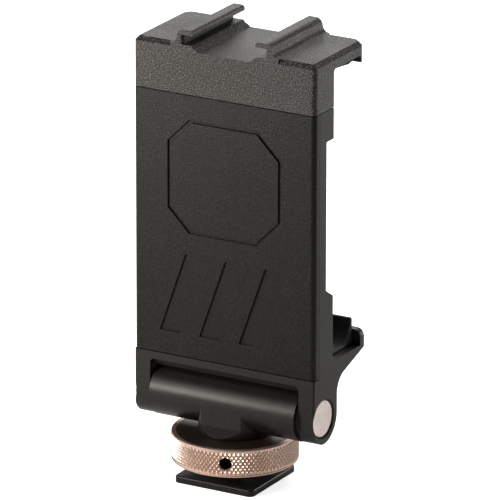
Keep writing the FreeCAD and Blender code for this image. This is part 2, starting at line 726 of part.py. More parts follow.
def make_spring(name, centre):
    """A coil of short straight runs of six-sided wire, which keeps its many turns light."""
    wire = S.spring_wire.value / 2
    radius = ROD_R.value + S.spring_clearance.value + wire
    base = SPRING_BOTTOM.value + wire
    height = BUSHING_BOTTOM.value - wire - base
    count = round(S.spring_turns.value) * COIL_STEPS
    rings = []
    for i in range(count + 1):
        turn = math.tau * i / COIL_STEPS
        ring = []
        for side in range(WIRE_SIDES):
            angle = math.tau * side / WIRE_SIDES
            reach = radius + wire * math.sin(angle)
            ring.append(FreeCAD.Vector(centre[0].value + reach * math.cos(turn),
                                       centre[1].value + reach * math.sin(turn),
                                       base + height * i / count + wire * math.cos(angle)))
        rings.append(ring)
    faces = [flat_face(rings[0]), flat_face(rings[-1])]
    for low, high in zip(rings, rings[1:]):
        for side in range(WIRE_SIDES):
            following = (side + 1) % WIRE_SIDES
            faces.append(flat_face([low[side], low[following], high[following]]))
            faces.append(flat_face([low[side], high[following], high[side]]))
    spring = doc.addObject("Part::Feature", name)
    spring.Label = name
    spring.Shape = Part.Solid(Part.Shell(faces))
    NODES.append(spring)


def flat_face(corners):
    return Part.Face(Part.makePolygon(corners + corners[:1]))


# Screws from the back that hold the front cover

def make_cover_screws():
    head = S.cover_screw_head.value / 2
    shank = S.cover_screw_diameter.value / 2
    seat = SEAT.value - S.cover_screw_head_height.value
    tip = COVER_BACK.value - S.cover_screw_bite.value
    screws = []
    for x in (-SCREW_X.value, SCREW_X.value):
        for z in SCREW_HEIGHTS:
            away = FreeCAD.Vector(0, 1, 0)
            screw = Part.makeCylinder(head, SEAT.value - seat, FreeCAD.Vector(x, seat, z.value), away)
            screws.append(screw.fuse(
                Part.makeCylinder(shank, seat - tip, FreeCAD.Vector(x, tip, z.value), away)))
    group = doc.addObject("Part::Feature", "cover_screws")
    group.Label = "cover_screws"
    group.Shape = Part.makeCompound(screws)
    NODES.append(group)


# Rubber pads that touch the phone

def make_pads():
    wide = S.pad_width / 2
    jaw_pad = new_body("jaw_pad")
    crest = HOOK_INNER - S.jaw_pad_crest
    extrude(jaw_pad, "form", "YZ", -wide, wide, [[
        (SEAT, ARM_UNDER - S.hook_inner_round), (SEAT + S.hook_inner_round, ARM_UNDER),
        (HOOK_INNER - S.hook_inner_round, ARM_UNDER), (HOOK_INNER, ARM_UNDER - S.hook_inner_round),
        (HOOK_INNER, ARM_UNDER - S.jaw_pad_crest), (crest, ARM_UNDER - S.jaw_pad_thickness),
        (crest - S.jaw_pad_crest_width, ARM_UNDER - S.jaw_pad_crest),
        (SEAT + S.jaw_pad_slope, ARM_UNDER - S.jaw_pad_root - S.hook_inner_round / 2),
        (SEAT, ARM_UNDER - S.jaw_pad_root - S.hook_inner_round)]])
    ledge_pad = new_body("ledge_pad")
    top = S.ledge_floor + S.ledge_pad_height
    extrude(ledge_pad, "form", "YZ", -wide, wide, [[
        (SEAT, S.ledge_floor), (LEDGE_LIP_INNER, S.ledge_floor), (LEDGE_LIP_INNER, top),
        (LEDGE_LIP_INNER - S.ledge_pad_tip, top),
        (LEDGE_LIP_INNER - S.ledge_pad_tip - S.ledge_pad_run, S.ledge_floor + S.ledge_pad_root,
         -S.ledge_pad_curve),
        (SEAT, S.ledge_floor + S.ledge_pad_root)]])
    back_pad = new_body("back_pad")
    half = S.back_pad_width / 2
    extrude(back_pad, "sheet", "XZ", SEAT, SEAT + S.back_pad_thickness,
            [box_loop(-half, half, S.ledge_floor + S.back_pad_rise, BODY_TOP - S.back_pad_drop)])
    round_edges(back_pad, "corners", S.back_pad_corner, lambda m, t: along_y(t))


make_upper_jaw()
make_front_cover()
make_clamp_body()
make_hinge_barrel()
make_hinge_fasteners()
make_foot_group()
make_wheel()
make_guide("right", ROD_X)
make_guide("left", -ROD_X)
make_cover_screws()
make_pads()
doc.recompute()

for item in doc.Objects:
    if "Invalid" in item.State or "Error" in item.State:
        raise RuntimeError(f"{item.Name} failed: {item.State}")

for node in NODES:
    shape = node.Shape
    if shape.isNull() or not shape.isValid():
        raise RuntimeError(f"{node.Label} has no valid shape")
    shape.exportStep(f"parts/{node.Label}.step")
    print(node.Label, len(shape.Solids), round(shape.Volume, 1))
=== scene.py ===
"""Looks of the cold shoe phone mount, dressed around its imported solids."""

import json
import logging
import math
from collections.abc import Callable
from dataclasses import dataclass, field
from enum import Enum

import bpy
from mathutils import Matrix, Vector

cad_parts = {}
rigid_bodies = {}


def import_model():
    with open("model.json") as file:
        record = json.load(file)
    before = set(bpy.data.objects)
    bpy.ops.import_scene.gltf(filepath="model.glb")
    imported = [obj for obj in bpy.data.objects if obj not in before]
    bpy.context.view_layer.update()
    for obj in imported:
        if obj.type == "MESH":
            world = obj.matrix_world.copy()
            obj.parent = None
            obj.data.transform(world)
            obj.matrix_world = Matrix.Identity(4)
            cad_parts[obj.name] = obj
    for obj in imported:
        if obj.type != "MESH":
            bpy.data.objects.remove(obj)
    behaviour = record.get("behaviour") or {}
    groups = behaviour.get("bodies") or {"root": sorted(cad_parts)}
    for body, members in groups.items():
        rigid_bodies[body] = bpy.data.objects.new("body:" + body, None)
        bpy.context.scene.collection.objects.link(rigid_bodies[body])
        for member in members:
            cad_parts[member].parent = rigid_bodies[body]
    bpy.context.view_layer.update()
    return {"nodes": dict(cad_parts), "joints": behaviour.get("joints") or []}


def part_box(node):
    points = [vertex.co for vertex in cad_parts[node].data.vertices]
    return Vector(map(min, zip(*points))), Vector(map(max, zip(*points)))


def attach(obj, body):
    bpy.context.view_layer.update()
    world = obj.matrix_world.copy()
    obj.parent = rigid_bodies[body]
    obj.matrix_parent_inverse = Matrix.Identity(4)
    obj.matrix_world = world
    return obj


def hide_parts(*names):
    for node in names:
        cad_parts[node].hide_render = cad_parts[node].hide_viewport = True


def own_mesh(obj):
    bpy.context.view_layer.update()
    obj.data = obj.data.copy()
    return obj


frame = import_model()

LOG = logging.getLogger("phone_mount")
MM = 0.001
# how near two places count as the same
TOLERANCE = 0.02 * MM
# how near two vertices are merged
MERGE_GAP = 0.002 * MM
# faces that turn by less than this become one
FLAT_ANGLE = math.radians(0.6)
# edges that turn by more than this are broken
SHARP_ANGLE = math.radians(24.0)
# edges that turn by less than these are shaded smooth
MACHINED_SMOOTH = math.radians(38.0)
TURNED_SMOOTH = math.radians(30.0)
COIL_SMOOTH = math.radians(50.0)
KNURL_SMOOTH = math.radians(18.0)
# how strongly the large faces set the shading of rounded edges
FLAT_WEIGHT = 90
PIN_STEPS = 64
PAD_EDGE = 0.3 * MM
PAD_EDGE_STEPS = 3
# the usual low and high ends of a noise factor, and the places of the grain's three shades in it
NOISE_LOW, NOISE_HIGH = 0.3, 0.7
GRAIN_PIT, GRAIN_FACE, GRAIN_GLINT = 0.36, 0.5, 0.66
DUST_FULL = 0.75

Colour = tuple[float, float, float]
Place = tuple[float, float, float]
DARK: Colour = (0.0, 0.0, 0.0)
# how far the ring pattern's sine runs in one unit of its coordinates at scale 1
WAVE_RADIANS = 20.0


class Body(Enum):
    """The moving groups of the mount."""

    BASE = "base"
    CLAMP = "clamp"
    JAW = "jaw"
    WHEEL_RING = "wheel_ring"
    WHEEL = "wheel"


class Slot(Enum):
    """Material slots of the record."""

    BLACK = "black_aluminium"
    GOLD = "gold_aluminium"
    BRIGHT = "bright_steel"
    DARK_STEEL = "black_steel"
    SPRING = "spring_steel"
    BRONZE = "bronze"
    NYLON = "nylon"
    RUBBER = "black_rubber"


# Materials

class NodeTree:
    """Small helper that adds and links shader nodes of one material."""

    def __init__(self, name: str) -> None:
        """Starts an empty material with a Principled shader."""
        self.material = bpy.data.materials.new(name)
        self.material.use_nodes = True
        self.nodes = self.material.node_tree.nodes
        self.links = self.material.node_tree.links
        self.nodes.clear()
        self.output = self.nodes.new("ShaderNodeOutputMaterial")
        self.shader = self.nodes.new("ShaderNodeBsdfPrincipled")
        self.links.new(self.shader.outputs["BSDF"], self.output.inputs["Surface"])
        self.coordinates = self.nodes.new("ShaderNodeTexCoord").outputs["Object"]

    def node(self, kind: str, **values: object) -> bpy.types.Node:
        """Adds a node and sets its properties.

        Args:
            kind: type name of the node.
            values: properties of the node.

        Returns:
            The new node.
        """
        node = self.nodes.new(kind)
        for key, value in values.items():
            setattr(node, key, value)
        return node

    def link(self, source: bpy.types.NodeSocket, target: bpy.types.NodeSocket) -> None:
        """Joins two sockets."""
        self.links.new(source, target)

    def noise(self, scale: float, detail: float = 2.0, rough: float = 0.5) -> bpy.types.NodeSocket:
        """Adds noise in Object coordinates.

        Args:
            scale: cells per metre.
            detail: octaves.
            rough: how much the fine octaves count.

        Returns:
            The noise's factor.
        """
        noise = self.node("ShaderNodeTexNoise")
        noise.inputs["Scale"].default_value = scale
        noise.inputs["Detail"].default_value = detail
        noise.inputs["Roughness"].default_value = rough
        self.link(self.coordinates, noise.inputs["Vector"])
        return noise.outputs["Fac"]

    def ramp(self, factor: bpy.types.NodeSocket,
             stops: list[tuple[float, Colour]]) -> bpy.types.NodeSocket:
        """Turns a factor into colour.

        Args:
            factor: the socket that drives the ramp.
            stops: places and colours.

        Returns:
            The ramp's colour.
        """
        ramp = self.node("ShaderNodeValToRGB")
        elements = ramp.color_ramp.elements
        while len(elements) < len(stops):
            elements.new(0.5)
        for element, (place, colour) in zip(elements, stops):
            element.position = place
            element.color = (*colour, 1.0)
        self.link(factor, ramp.inputs["Fac"])
        return ramp.outputs["Color"]

    def spread(self, factor: bpy.types.NodeSocket, low: float, high: float) -> bpy.types.NodeSocket:
        """Maps a noise factor to a range of numbers.

        Args:
            factor: the socket to map.
            low: value at the noise's low end.
            high: value at the noise's high end.

        Returns:
            The mapped value.
        """
        mapped = self.node("ShaderNodeMapRange")
        mapped.inputs["From Min"].default_value = NOISE_LOW
        mapped.inputs["From Max"].default_value = NOISE_HIGH
        mapped.inputs["To Min"].default_value = low
        mapped.inputs["To Max"].default_value = high
        self.link(factor, mapped.inputs["Value"])
        return mapped.outputs["Result"]

    def bump(self, height: bpy.types.NodeSocket, distance: float, strength: float) -> None:
        """Adds relief to the shader.

        Args:
            height: the socket that gives the relief.
            distance: its height in metres.
            strength: how strongly it counts.
        """
        bump = self.node("ShaderNodeBump")
        bump.inputs["Distance"].default_value = distance
        bump.inputs["Strength"].default_value = strength
        self.link(height, bump.inputs["Height"])
        self.link(bump.outputs["Normal"], self.shader.inputs["Normal"])


def mixed(first: Colour, second: Colour, share: float) -> Colour:
    """Mixes two colours, share of the second."""
    return tuple(a + (b - a) * share for a, b in zip(first, second))


@dataclass(frozen=True)
class AnodisedFinish:
    """Bead-blasted, anodised aluminium: a fine grain under a satin layer."""

    name: str
    colour: Colour
    light: float
    roughness: float
    grain_strength: float
    roughness_spread: float = 0.06
    metallic: float = 0.0
    grain_per_metre: float = 5200.0
    grain_height: float = 0.02 * MM
    clouds_per_metre: float = 55.0
    shade: float = 0.25
    glint: Colour = (1.0, 0.95, 0.9)
    cool_tint: Colour = (0.92, 0.92, 0.94)
    warm_tint: Colour = (1.0, 0.985, 0.97)
    specular: float = 0.3
    sheen_tint: Colour = (1.0, 0.93, 0.84)

    def make(self) -> bpy.types.Material:
        """Builds the material.

        Returns:
            The material, a fine grain over soft clouds of tint.
        """
        tree = NodeTree(self.name)
        grain = tree.noise(self.grain_per_metre, detail=2.0, rough=0.6)
        cloud = tree.noise(self.clouds_per_metre, detail=3.0)
        shades = tree.ramp(grain, [(GRAIN_PIT, mixed(self.colour, DARK, self.shade)),
                                   (GRAIN_FACE, self.colour),
                                   (GRAIN_GLINT, mixed(self.colour, self.glint, self.light))])
        tint = tree.ramp(cloud, [(NOISE_LOW, self.cool_tint), (NOISE_HIGH, self.warm_tint)])
        mix = tree.node("ShaderNodeMix", data_type="RGBA", blend_type="MULTIPLY")
        mix.inputs["Factor"].default_value = 1.0
        tree.link(shades, mix.inputs["A"])
        tree.link(tint, mix.inputs["B"])
        tree.link(mix.outputs["Result"], tree.shader.inputs["Base Color"])
        tree.shader.inputs["Metallic"].default_value = self.metallic
        tree.shader.inputs["Specular IOR Level"].default_value = self.specular
        tree.shader.inputs["Specular Tint"].default_value = (*self.sheen_tint, 1.0)
        rough = tree.spread(cloud, self.roughness - self.roughness_spread,
                            self.roughness + self.roughness_spread)
        tree.link(rough, tree.shader.inputs["Roughness"])
        tree.bump(grain, self.grain_height, self.grain_strength)
        return tree.material


@dataclass(frozen=True)
class MachinedFinish:
    """Turned bright metal with fine rings about an axis along X, Y or Z."""

    name: str
    colour: Colour
    roughness: float
    ring_centre: Place = (0.0, 0.0, 0.0)
    ring_axis: str = "Z"
    rings_per_metre: float = 638.3
    ring_height: float = 0.004 * MM
    ring_strength: float = 0.4
    ring_waver: float = 0.4
    stains_per_metre: float = 420.0
    stain: float = 0.12
    roughness_share: float = 0.2
    metallic: float = 1.0

    def make(self) -> bpy.types.Material:
        """Builds the material.

        Returns:
            The material, turned rings under a faint stain.
        """
        tree = NodeTree(self.name)
        mapping = tree.node("ShaderNodeMapping")
        mapping.inputs["Location"].default_value = tuple(-c for c in self.ring_centre)
        tree.link(tree.coordinates, mapping.inputs["Vector"])
        wave = tree.node("ShaderNodeTexWave", wave_type="RINGS", rings_direction=self.ring_axis)
        wave.inputs["Scale"].default_value = self.rings_per_metre * math.tau / WAVE_RADIANS
        wave.inputs["Distortion"].default_value = self.ring_waver
        tree.link(mapping.outputs["Vector"], wave.inputs["Vector"])
        stain = tree.noise(self.stains_per_metre, detail=3.0)
        colour = tree.ramp(stain, [(NOISE_LOW, mixed(self.colour, DARK, self.stain)),
                                   (NOISE_HIGH, self.colour)])
        tree.link(colour, tree.shader.inputs["Base Color"])
        tree.shader.inputs["Metallic"].default_value = self.metallic
        rough = tree.spread(stain, self.roughness * (1.0 - self.roughness_share),
                            self.roughness * (1.0 + self.roughness_share))
        tree.link(rough, tree.shader.inputs["Roughness"])
        tree.bump(wave.outputs["Fac"], self.ring_height, self.ring_strength)
        return tree.material


@dataclass(frozen=True)
class RubberFinish:
    """Matte moulded rubber or nylon with a soft grain."""

    name: str
    colour: Colour
    roughness: float = 0.7
    roughness_spread: float = 0.08
    grain_per_metre: float = 2600.0
    grain_height: float = 0.03 * MM
    grain_strength: float = 0.5
    dust_per_metre: float = 700.0
    dust: Colour = (0.5, 0.5, 0.48)
    dust_share: float = 0.02
    specular: float = 0.4

    def make(self) -> bpy.types.Material:
        """Builds the material.

        Returns:
            The material, a soft grain under a little dust.
        """
        tree = NodeTree(self.name)
        grain = tree.noise(self.grain_per_metre, detail=3.0, rough=0.6)
        dust = tree.noise(self.dust_per_metre, detail=4.0)
        colour = tree.ramp(dust, [(NOISE_LOW, self.colour),
                                  (DUST_FULL, mixed(self.colour, self.dust, self.dust_share))])
        tree.link(colour, tree.shader.inputs["Base Color"])
        rough = tree.spread(grain, self.roughness - self.roughness_spread,
                            self.roughness + self.roughness_spread)
        tree.link(rough, tree.shader.inputs["Roughness"])
        tree.shader.inputs["Specular IOR Level"].default_value = self.specular
        tree.bump(grain, self.grain_height, self.grain_strength)
        return tree.material


HINGE_CENTRE = tuple(next(j for j in frame["joints"] if j["name"] == "tilt")["pos_m"])
JAW_BLACK = AnodisedFinish("jaw_black_anodised", (0.0105, 0.0092, 0.0078), light=0.14, roughness=0.4,
                           grain_strength=1.0, grain_height=0.12 * MM, grain_per_metre=3700.0,
                           specular=0.215)
COVER_BLACK = AnodisedFinish("cover_black_anodised", (0.0045, 0.0046, 0.0036), light=0.012, roughness=0.4,
                             grain_strength=1.0, grain_height=0.07 * MM, grain_per_metre=4000.0,
                             specular=0.148)
FRAME_BLACK = AnodisedFinish("frame_black_anodised", (0.0095, 0.0085, 0.0075), light=0.02, roughness=0.4,
                             grain_strength=0.6, specular=0.2)
BARREL_BLACK = AnodisedFinish("barrel_black_anodised", (0.007, 0.006, 0.0055), light=0.01, roughness=0.36,
                              grain_strength=0.5, roughness_spread=0.02, specular=0.25)
WHEEL_BLACK = AnodisedFinish("wheel_black_anodised", (0.018, 0.009, 0.006), light=0.01, roughness=0.38,
                             grain_strength=0.2)
ROSE_GOLD = AnodisedFinish("rose_gold_anodised", (0.74, 0.55, 0.45), light=0.05, roughness=0.46,
                           grain_strength=0.1, metallic=1.0, specular=0.5)
PIN_SILVER = MachinedFinish("pin_silver", (0.78, 0.67, 0.62), 0.3, HINGE_CENTRE, "X")
STEEL = MachinedFinish("bright_steel", (0.5, 0.48, 0.46), 0.28)
DARK_STEEL = MachinedFinish("dark_steel", (0.03, 0.03, 0.03), 0.4, metallic=0.3)
SPRING_STEEL = MachinedFinish("spring_steel", (0.4, 0.4, 0.42), 0.35)
BRONZE = MachinedFinish("sintered_bronze", (0.5, 0.33, 0.17), 0.45)
RUBBER = RubberFinish("black_rubber", (0.007, 0.007, 0.006))
NYLON = RubberFinish("black_nylon", (0.012, 0.012, 0.012), 0.5)
Finish = AnodisedFinish | MachinedFinish | RubberFinish

_made: dict[str, bpy.types.Material] = {}


def material_of(finish: Finish) -> bpy.types.Material:
    """Builds a finish at its first use.

    Args:
        finish: the finish.

    Returns:
        Its material.
    """
    if finish.name not in _made:
        _made[finish.name] = finish.make()
    return _made[finish.name]


# Mesh helpers

def deselect() -> None:
    """Deselects every object."""
    for item in bpy.context.view_layer.objects:
        item.select_set(False)


def make_active(item: bpy.types.Object) -> None:
    """Selects one object alone and makes it active."""
    deselect()
    item.select_set(True)
    bpy.context.view_layer.objects.active = item


def paint(item: bpy.types.Object, finish: Finish) -> None:
    """Gives an object one material."""
    item.data.materials.clear()
    item.data.materials.append(material_of(finish))


def set_down(item: bpy.types.Object, body: Body, finish: Finish, node: str) -> None:
    """Applies a piece's place, dresses it and ties it to its body.

    Args:
        item: the new piece.
        body: the body that it moves with.
        finish: its finish.
        node: the solid that it stands for.
    """
    make_active(item)
    bpy.ops.object.transform_apply(location=True, rotation=True, scale=True)
    paint(item, finish)
    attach(item, body.value)
    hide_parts(node)
    LOG.info("%s: %d faces, %s", item.name, len(item.data.polygons), finish.name)


def merged_copy(node: str) -> bpy.types.Object:
    """Copies a solid's mesh and merges its loose triangles.

    Args:
        node: the solid.

    Returns:
        The new piece.
    """
    source = frame["nodes"][node]
    item = bpy.data.objects.new(f"{node}_finished", source.data.copy())
    bpy.context.scene.collection.objects.link(item)
    make_active(item)
    bpy.ops.object.mode_set(mode="EDIT")
    bpy.ops.mesh.select_all(action="SELECT")
    bpy.ops.mesh.remove_doubles(threshold=MERGE_GAP)
    bpy.ops.mesh.dissolve_limited(angle_limit=FLAT_ANGLE)
    bpy.ops.object.mode_set(mode="OBJECT")
    return item


def break_edges(item: bpy.types.Object, edge: float, segments: int = 2,
                spared: Callable[[Vector], bool] = lambda place: False) -> None:
    """Rounds the sharp edges of a piece and keeps its flat faces flat.

    Args:
        item: the piece.
        edge: width of the broken edge in metres.
        segments: steps across the edge.
        spared: tells whether an end lies where edges stay as they are.
    """
    make_active(item)
    bpy.ops.object.mode_set(mode="EDIT")
    bpy.ops.mesh.select_mode(type="EDGE")
    bpy.ops.mesh.select_all(action="DESELECT")
    bpy.ops.mesh.edges_select_sharp(sharpness=SHARP_ANGLE)
    bpy.ops.object.mode_set(mode="OBJECT")
    for line in item.data.edges:
        if all(spared(item.data.vertices[end].co) for end in line.vertices):
            line.select = False
    bpy.ops.object.mode_set(mode="EDIT")
    bpy.ops.mesh.bevel(offset=edge, segments=segments, clamp_overlap=True, miter_outer="ARC")
    bpy.ops.mesh.select_mode(type="VERT")
    bpy.ops.object.mode_set(mode="OBJECT")
    bpy.ops.object.shade_smooth_by_angle(angle=MACHINED_SMOOTH)
    weighted = item.modifiers.new("flat_faces", "WEIGHTED_NORMAL")
    weighted.keep_sharp = True
    weighted.weight = FLAT_WEIGHT
    bpy.ops.object.modifier_apply(modifier=weighted.name)


def machined_copy(node: str, edge: float, segments: int = 2) -> bpy.types.Object:
    """Copies a solid and breaks its sharp edges.

    Args:
        node: the solid.
        edge: width of the broken edge in metres.
        segments: steps across the edge.

    Returns:
        The new piece.
    """
    item = merged_copy(node)
    break_edges(item, edge, segments)
    return item


def turned_piece(name: str, profile: list[tuple[float, float]], steps: int,
                 solid: bool = False) -> bpy.types.Object:
    """Turns a profile about Z by drawing a circle and extruding it from corner to corner.

    Args:
        name: the piece's name.
        profile: radius and height of each corner.
        steps: vertices round the circle.
        solid: fills both ends, where otherwise the last corner joins the first.

    Returns:
        The new piece, its place in the mesh.
    """
    deselect()
    radius, height = profile[0]
    bpy.ops.mesh.primitive_circle_add(vertices=steps, radius=radius, location=(0.0, 0.0, height))
    item = bpy.context.active_object
    item.name = name
    bpy.ops.object.transform_apply(location=True, rotation=True, scale=True)
    bpy.ops.object.mode_set(mode="EDIT")
    bpy.ops.mesh.select_all(action="SELECT")
    for next_radius, next_height in profile[1:]:
        bpy.ops.mesh.extrude_edges_move(TRANSFORM_OT_translate={"value": (0.0, 0.0, next_height - height)})
        grow = next_radius / radius
        bpy.ops.transform.resize(value=(grow, grow, 1.0), center_override=(0.0, 0.0, next_height))
        radius, height = next_radius, next_height
    bpy.ops.mesh.select_all(action="DESELECT")
    bpy.ops.mesh.select_non_manifold(use_wire=False, use_multi_face=False)
    if solid:
        bpy.ops.mesh.edge_face_add()
    else:
        bpy.ops.mesh.bridge_edge_loops()
    bpy.ops.mesh.select_all(action="SELECT")
    bpy.ops.mesh.normals_make_consistent(inside=False)
    bpy.ops.object.mode_set(mode="OBJECT")
    return item


def cut_out(item: bpy.types.Object, tool: bpy.types.Object) -> None:
    """Cuts a tool's solid out of a piece and removes the tool.

    Args:
        item: the piece.
        tool: the solid to cut out.
    """
    cut = item.modifiers.new(tool.name, "BOOLEAN")
    cut.operation = "DIFFERENCE"
    cut.object = tool
    cut.solver = "EXACT"
    make_active(item)
    bpy.ops.object.modifier_apply(modifier=cut.name)
    bpy.data.objects.remove(tool)


def lay_on_hinge(item: bpy.types.Object) -> None:
    """Lays a turned piece along the hinge's axis, its heights along X.

    Args:
        item: the piece, turned about Z.
    """
    make_active(item)
    item.rotation_euler = (0.0, math.pi / 2, 0.0)
    item.location = (0.0, HINGE_CENTRE[1], HINGE_CENTRE[2])
    bpy.ops.object.transform_apply(location=True, rotation=True, scale=True)


# Sub-assemblies

@dataclass
class Jaw:
    """Upper jaw with its cold shoe, pad and guide rods."""

    edge: float = 0.22 * MM

    def build(self) -> None:
        """Builds and dresses the jaw."""
        jaw = machined_copy("upper_jaw", self.edge)
        set_down(jaw, Body.JAW, JAW_BLACK, "upper_jaw")
        pad = machined_copy("jaw_pad", PAD_EDGE, PAD_EDGE_STEPS)
        set_down(pad, Body.JAW, RUBBER, "jaw_pad")
        for side in ("right", "left"):
            paint(frame["nodes"][f"guide_rod_{side}"], STEEL)
            paint(frame["nodes"][f"rod_nut_{side}"], STEEL)


@dataclass
class Clamp:
    """Clamp body with its cover, ledge and pads.

    The seats of the hinge's heads open a thin slot in each ear's front: slot_half is half its
    height and slot_reach how deep it lies, each with some room, and the liners close it.
    """

    edge: float = 0.18 * MM
    cover_edge: float = 0.12 * MM
    seat_depth: float = 1.1 * MM
    liner_wall: float = 0.1 * MM
    slot_half: float = 0.9 * MM
    slot_reach: float = 0.42 * MM
    foot_round: float = 4.3 * MM
    foot_steps: int = 72
    cutter_past: float = 1.0 * MM

    def build(self) -> None:
        """Builds and dresses the clamp."""
        body = merged_copy("clamp_body")
        front = min(vertex.co.y for vertex in body.data.vertices)
        self.round_feet(body, front)
        break_edges(body, self.edge, spared=lambda place: self.at_slot(place, front))
        self.line_seats(body, front)
        set_down(body, Body.CLAMP, FRAME_BLACK, "clamp_body")
        cover = machined_copy("front_cover", self.cover_edge)
        set_down(cover, Body.CLAMP, COVER_BLACK, "front_cover")
        for node in ("ledge_pad", "back_pad"):
            pad = machined_copy(node, PAD_EDGE, PAD_EDGE_STEPS)
            set_down(pad, Body.CLAMP, RUBBER, node)
        for side in ("right", "left"):
            paint(frame["nodes"][f"bushing_{side}"], BRONZE)
            paint(frame["nodes"][f"friction_washer_{side}"], NYLON)
        paint(frame["nodes"]["cover_screws"], DARK_STEEL)

    def round_feet(self, body: bpy.types.Object, front: float) -> None:
        """Rounds the lower front corner of each ear, up to where its own round begins.

        Args:
            body: the merged clamp body.
            front: how far forward the ears reach.
        """
        _, pin_y, pin_z = HINGE_CENTRE
        foot = min(vertex.co.z for vertex in body.data.vertices if vertex.co.y - front < TOLERANCE)
        ear_radius = math.hypot(front - pin_y, foot - pin_z)
        inward = front + self.foot_round - pin_y
        drop = math.sqrt((ear_radius - self.foot_round) ** 2 - inward ** 2)
        middle = Vector((0.0, pin_y + inward, pin_z - drop))
        meeting = pin_y + inward * ear_radius / (ear_radius - self.foot_round)
        ahead, below = front - self.cutter_past, pin_z - ear_radius - self.cutter_past
        width = body.dimensions.x + 2.0 * self.cutter_past
        deselect()
        bpy.ops.mesh.primitive_cube_add(size=1.0, scale=(width, meeting - ahead, middle.z - below),
                                        location=(0.0, (ahead + meeting) / 2.0, (middle.z + below) / 2.0))
        cutter = bpy.context.active_object
        bpy.ops.object.transform_apply(location=True, rotation=True, scale=True)
        deselect()
        bpy.ops.mesh.primitive_cylinder_add(vertices=self.foot_steps, radius=self.foot_round,
                                            depth=2.0 * width, location=middle,
                                            rotation=(0.0, math.pi / 2, 0.0))
        core = bpy.context.active_object
        bpy.ops.object.transform_apply(location=True, rotation=True, scale=True)
        cut_out(cutter, core)
        cut_out(body, cutter)

    def at_slot(self, place: Vector, front: float) -> bool:
        """Tells whether a place lies on the thin slot that a head's seat opens in an ear's front.

        Args:
            place: the place.
            front: how far forward the ears reach.

        Returns:
            True on the slot.
        """
        return place.y - front < self.slot_reach and abs(place.z - HINGE_CENTRE[2]) < self.slot_half

    def line_seats(self, body: bpy.types.Object, front: float) -> None:
        """Lines the seats of the hinge's heads, so that the slots in the ears' front are closed.

        Args:
            body: the clamp body.
            front: how far forward the ears reach.
        """
        _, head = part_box("hinge_bolt")
        outer = HINGE_CENTRE[1] - front - TOLERANCE / 2
        inner = outer - self.liner_wall
        for way in (1, -1):
            ends = (head.x * way, (head.x - self.seat_depth) * way)
            liner = turned_piece("seat_liner", [(inner, ends[0]), (outer, ends[0]), (outer, ends[1]),
                                                (inner, ends[1])], PIN_STEPS)
            lay_on_hinge(liner)
            bpy.ops.object.shade_smooth_by_angle(angle=MACHINED_SMOOTH)
            body.select_set(True)
            bpy.context.view_layer.objects.active = body
            bpy.ops.object.join()


@dataclass
class Pins:
    """The hinge's bolt and sleeve nut, seen as a bright head in each ear."""

    head_thickness: float = 1.1 * MM
    head_edge: float = 0.15 * MM
    head_inset: float = 0.15 * MM
    shank_radius: float = 2.0 * MM
    sleeve_radius: float = 2.7 * MM

    def build(self) -> None:
        """Turns both pieces between the ends of their solids."""
        start, bolt_face = (corner.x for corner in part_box("hinge_bolt"))
        nut_face, tip = (corner.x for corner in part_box("hinge_nut"))
        bolt = [(self.shank_radius, start)] + self.head(bolt_face, 1, self.shank_radius)
        nut = [(self.shank_radius, start), (self.shank_radius, tip), (self.sleeve_radius, tip)]
        nut += self.head(nut_face, -1, self.sleeve_radius)
        for node, profile in (("hinge_bolt", bolt), ("hinge_nut", nut)):
            pin = turned_piece(f"{node}_finished", profile, PIN_STEPS, solid=True)
            lay_on_hinge(pin)
            bpy.ops.object.shade_smooth_by_angle(angle=TURNED_SMOOTH)
            set_down(pin, Body.CLAMP, PIN_SILVER, node)

    def head(self, face: float, way: int, shank: float) -> list[tuple[float, float]]:
        """Gives the outline of a head, from its shank to its face.

        Args:
            face: place of its face along the hinge.
            way: 1 where it faces right, -1 where it faces left.
            shank: radius of what it stands on.

        Returns:
            Radius and place of each corner.
        """
        _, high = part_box("hinge_bolt")
        radius = high.z - HINGE_CENTRE[2] - self.head_inset
        seat = face - self.head_thickness * way
        rim = face - self.head_edge * way
        return [(shank, seat), (radius, seat), (radius, rim), (radius - self.head_edge, face)]


